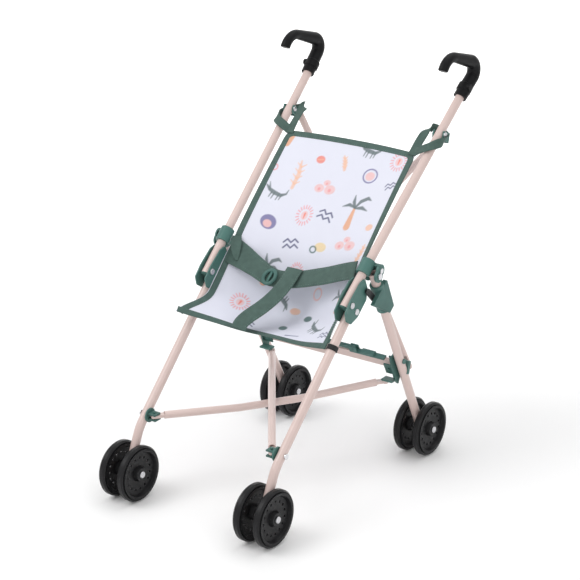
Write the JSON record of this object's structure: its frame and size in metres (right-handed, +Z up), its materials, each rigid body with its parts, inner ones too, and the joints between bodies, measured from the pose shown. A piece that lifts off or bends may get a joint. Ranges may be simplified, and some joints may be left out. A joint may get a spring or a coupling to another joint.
{
  "type": "doll stroller",
  "caption": "Folding stroller for dolls: tube side frames, crossed braces, fabric sling seat with harness, hook handles and twin wheels.",
  "frame": {"origin": "on the floor, under the middle of the bounding box", "axes": "+Z up, -Y the way the seat and the front wheels face, +X across to the right seen from the front"},
  "size_m": [0.276, 0.4838, 0.5517],
  "materials": {
    "tube": "satin pale pink paint",
    "handle": "matte black moulding",
    "wheel": "satin black moulding",
    "steel": "plated steel",
    "dark_steel": "black coated",
    "green_plastic": "satin green moulding",
    "fabric": "printed white polyester",
    "webbing": "green webbing"
  },
  "bodies": {
    "left_frame": {"push_tube_left": "tube", "tube_plug_left": "green_plastic", "handle_left": "handle", "pivot_collar_left": "green_plastic", "collar_bolts_left": "steel", "top_rivet_left": "steel", "top_loop_left": "webbing", "sling": "fabric", "waist_belt": "webbing", "crotch_strap": "webbing", "belt_buckle": "green_plastic"},
    "right_frame": {"push_tube_right": "tube", "tube_plug_right": "green_plastic", "handle_right": "handle", "pivot_collar_right": "green_plastic", "collar_bolts_right": "steel", "top_rivet_right": "steel", "top_loop_right": "webbing"},
    "front_leg_left": {"front_leg_left": "tube", "lock_channel_left": "green_plastic", "lock_bolts_left": "steel", "front_rivet_left": "steel", "leg_strap_left": "webbing", "front_axle_left": "steel"},
    "rear_leg_left": {"rear_leg_left": "tube", "rear_bracket_left": "green_plastic", "rear_axle_left": "steel"},
    "slider_left": {"slider_left": "green_plastic"},
    "lock_link_left": {"lock_link_left": "dark_steel"},
    "top_swivel_left": {"top_swivel_left": "green_plastic"},
    "front_fork_left": {"front_fork_left": "green_plastic"},
    "back_brace_left": {"back_brace_left": "tube"},
    "lower_brace_left": {"lower_brace_left": "tube"},
    "crossbar_left": {"crossbar_left": "tube"},
    "front_wheel_left_outer": {"front_wheel_left_outer": "wheel"},
    "front_wheel_left_inner": {"front_wheel_left_inner": "wheel"},
    "rear_wheel_left_outer": {"rear_wheel_left_outer": "wheel"},
    "rear_wheel_left_inner": {"rear_wheel_left_inner": "wheel"},
    "front_leg_right": {"front_leg_right": "tube", "lock_channel_right": "green_plastic", "lock_bolts_right": "steel", "front_rivet_right": "steel", "leg_strap_right": "webbing", "front_axle_right": "steel"},
    "rear_leg_right": {"rear_leg_right": "tube", "rear_bracket_right": "green_plastic", "rear_axle_right": "steel"},
    "slider_right": {"slider_right": "green_plastic"},
    "lock_link_right": {"lock_link_right": "dark_steel"},
    "top_swivel_right": {"top_swivel_right": "green_plastic"},
    "front_fork_right": {"front_fork_right": "green_plastic"},
    "back_brace_right": {"back_brace_right": "tube"},
    "lower_brace_right": {"lower_brace_right": "tube"},
    "crossbar_right": {"crossbar_right": "tube", "crossbar_cover": "green_plastic"},
    "front_wheel_right_outer": {"front_wheel_right_outer": "wheel"},
    "front_wheel_right_inner": {"front_wheel_right_inner": "wheel"},
    "rear_wheel_right_outer": {"rear_wheel_right_outer": "wheel"},
    "rear_wheel_right_inner": {"rear_wheel_right_inner": "wheel"},
    "lock_lever": {"lock_lever": "green_plastic"}
  },
  "joints": [
    {"name": "fold", "type": "slide", "parent": "left_frame", "child": "right_frame", "axis": [-1, 0, 0], "range_m": [0, 0.16], "deforming": ["sling", "waist_belt", "crotch_strap", "belt_buckle"]},
    {"name": "front_leg_fold_left", "type": "hinge", "parent": "left_frame", "child": "front_leg_left", "pos_m": [-0.1118, -0.03684, 0.26465], "axis": [1, 0, 0], "range_deg": [-172.5, 0]},
    {"name": "rear_leg_fold_left", "type": "hinge", "parent": "left_frame", "child": "rear_leg_left", "pos_m": [-0.1217, 0.00918, 0.29296], "axis": [1, 0, 0], "range_deg": [-61.79, 0]},
    {"name": "slider_travel_left", "type": "slide", "parent": "rear_leg_left", "child": "slider_left", "axis": [0.0269, 0.4693, -0.8826], "range_m": [0, 0.0469]},
    {"name": "link_swing_left", "type": "hinge", "parent": "slider_left", "child": "lock_link_left", "pos_m": [-0.1162, 0.01138, 0.25901], "axis": [1, 0, 0], "range_deg": [0, 72.06]},
    {"name": "top_swivel_turn_left", "type": "hinge", "parent": "left_frame", "child": "top_swivel_left", "pos_m": [-0.12068, 0.15958, 0.44654], "axis": [1, 0, 0], "range_deg": [-27.02, 0]},
    {"name": "front_fork_turn_left", "type": "hinge", "parent": "front_leg_left", "child": "front_fork_left", "pos_m": [-0.10924, -0.1685, 0.10425], "axis": [1, 0, 0], "range_deg": [0, 48.51]},
    {"name": "back_brace_swing_left", "type": "hinge", "parent": "top_swivel_left", "child": "back_brace_left", "pos_m": [-0.11798, 0.17469, 0.44306], "axis": [0, 0.9745, -0.2244], "range_deg": [0, 26.37]},
    {"name": "lower_brace_swing_left", "type": "hinge", "parent": "front_fork_left", "child": "lower_brace_left", "pos_m": [-0.0945, -0.1685, 0.10425], "axis": [0, -0.0548, 0.9985], "range_deg": [0, 32.4]},
    {"name": "crossbar_fold_left", "type": "hinge", "parent": "rear_leg_left", "child": "crossbar_left", "pos_m": [-0.1007, 0.08993, 0.14109], "axis": [0, -0.8829, -0.4695], "range_deg": [0, 78.64]},
    {"name": "front_wheel_left_outer_spin", "type": "hinge", "parent": "front_leg_left", "child": "front_wheel_left_outer", "pos_m": [-0.12376, -0.20464, 0.0373], "axis": [1, 0, 0], "continuous": true},
    {"name": "front_wheel_left_inner_spin", "type": "hinge", "parent": "front_leg_left", "child": "front_wheel_left_inner", "pos_m": [-0.09326, -0.20464, 0.0373], "axis": [1, 0, 0], "continuous": true},
    {"name": "rear_wheel_left_outer_spin", "type": "hinge", "parent": "rear_leg_left", "child": "rear_wheel_left_outer", "pos_m": [-0.12916, 0.14512, 0.0373], "axis": [1, 0, 0], "continuous": true},
    {"name": "rear_wheel_left_inner_spin", "type": "hinge", "parent": "rear_leg_left", "child": "rear_wheel_left_inner", "pos_m": [-0.09866, 0.14512, 0.0373], "axis": [1, 0, 0], "continuous": true},
    {"name": "front_leg_fold_right", "type": "hinge", "parent": "right_frame", "child": "front_leg_right", "pos_m": [0.1118, -0.03684, 0.26465], "axis": [1, 0, 0], "range_deg": [-172.5, 0]},
    {"name": "rear_leg_fold_right", "type": "hinge", "parent": "right_frame", "child": "rear_leg_right", "pos_m": [0.1217, 0.00918, 0.29296], "axis": [1, 0, 0], "range_deg": [-61.79, 0]},
    {"name": "slider_travel_right", "type": "slide", "parent": "rear_leg_right", "child": "slider_right", "axis": [-0.0269, 0.4693, -0.8826], "range_m": [0, 0.0469]},
    {"name": "link_swing_right", "type": "hinge", "parent": "slider_right", "child": "lock_link_right", "pos_m": [0.1162, 0.01138, 0.25901], "axis": [1, 0, 0], "range_deg": [0, 72.06]},
    {"name": "top_swivel_turn_right", "type": "hinge", "parent": "right_frame", "child": "top_swivel_right", "pos_m": [0.12068, 0.15958, 0.44654], "axis": [1, 0, 0], "range_deg": [-27.02, 0]},
    {"name": "front_fork_turn_right", "type": "hinge", "parent": "front_leg_right", "child": "front_fork_right", "pos_m": [0.10924, -0.1685, 0.10425], "axis": [1, 0, 0], "range_deg": [0, 48.51]},
    {"name": "back_brace_swing_right", "type": "hinge", "parent": "top_swivel_right", "child": "back_brace_right", "pos_m": [0.11798, 0.17469, 0.44306], "axis": [0, -0.9745, 0.2244], "range_deg": [0, 26.37]},
    {"name": "lower_brace_swing_right", "type": "hinge", "parent": "front_fork_right", "child": "lower_brace_right", "pos_m": [0.0945, -0.1685, 0.10425], "axis": [0, 0.0548, -0.9985], "range_deg": [0, 32.4]},
    {"name": "crossbar_fold_right", "type": "hinge", "parent": "rear_leg_right", "child": "crossbar_right", "pos_m": [0.1007, 0.08993, 0.14109], "axis": [0, 0.8829, 0.4695], "range_deg": [0, 78.64]},
    {"name": "front_wheel_right_outer_spin", "type": "hinge", "parent": "front_leg_right", "child": "front_wheel_right_outer", "pos_m": [0.12376, -0.20464, 0.0373], "axis": [1, 0, 0], "continuous": true},
    {"name": "front_wheel_right_inner_spin", "type": "hinge", "parent": "front_leg_right", "child": "front_wheel_right_inner", "pos_m": [0.09326, -0.20464, 0.0373], "axis": [1, 0, 0], "continuous": true},
    {"name": "rear_wheel_right_outer_spin", "type": "hinge", "parent": "rear_leg_right", "child": "rear_wheel_right_outer", "pos_m": [0.12916, 0.14512, 0.0373], "axis": [1, 0, 0], "continuous": true},
    {"name": "rear_wheel_right_inner_spin", "type": "hinge", "parent": "rear_leg_right", "child": "rear_wheel_right_inner", "pos_m": [0.09866, 0.14512, 0.0373], "axis": [1, 0, 0], "continuous": true},
    {"name": "lever_lift", "type": "hinge", "parent": "crossbar_right", "child": "lock_lever", "pos_m": [0.042, 0.08663, 0.15327], "axis": [0, 0.8829, 0.4695], "range_deg": [0, 14]}
  ],
  "couplings": [
    {"joint": "front_leg_fold_left", "follows": "fold", "rad_per_m": -18.762},
    {"joint": "rear_leg_fold_left", "follows": "fold", "rad_per_m": -6.686},
    {"joint": "slider_travel_left", "follows": "fold", "ratio": 0.29},
    {"joint": "link_swing_left", "follows": "fold", "rad_per_m": 7.8058},
    {"joint": "top_swivel_turn_left", "follows": "fold", "rad_per_m": -2.8925},
    {"joint": "front_fork_turn_left", "follows": "fold", "rad_per_m": 5.237},
    {"joint": "back_brace_swing_left", "follows": "fold", "rad_per_m": 2.8217},
    {"joint": "lower_brace_swing_left", "follows": "fold", "rad_per_m": 3.4795},
    {"joint": "crossbar_fold_left", "follows": "fold", "rad_per_m": 8.5235},
    {"joint": "front_leg_fold_right", "follows": "fold", "rad_per_m": -18.762},
    {"joint": "rear_leg_fold_right", "follows": "fold", "rad_per_m": -6.686},
    {"joint": "slider_travel_right", "follows": "fold", "ratio": 0.29},
    {"joint": "link_swing_right", "follows": "fold", "rad_per_m": 7.8058},
    {"joint": "top_swivel_turn_right", "follows": "fold", "rad_per_m": -2.8925},
    {"joint": "front_fork_turn_right", "follows": "fold", "rad_per_m": 5.237},
    {"joint": "back_brace_swing_right", "follows": "fold", "rad_per_m": 2.8217},
    {"joint": "lower_brace_swing_right", "follows": "fold", "rad_per_m": 3.4795},
    {"joint": "crossbar_fold_right", "follows": "fold", "rad_per_m": 8.5235}
  ]
}
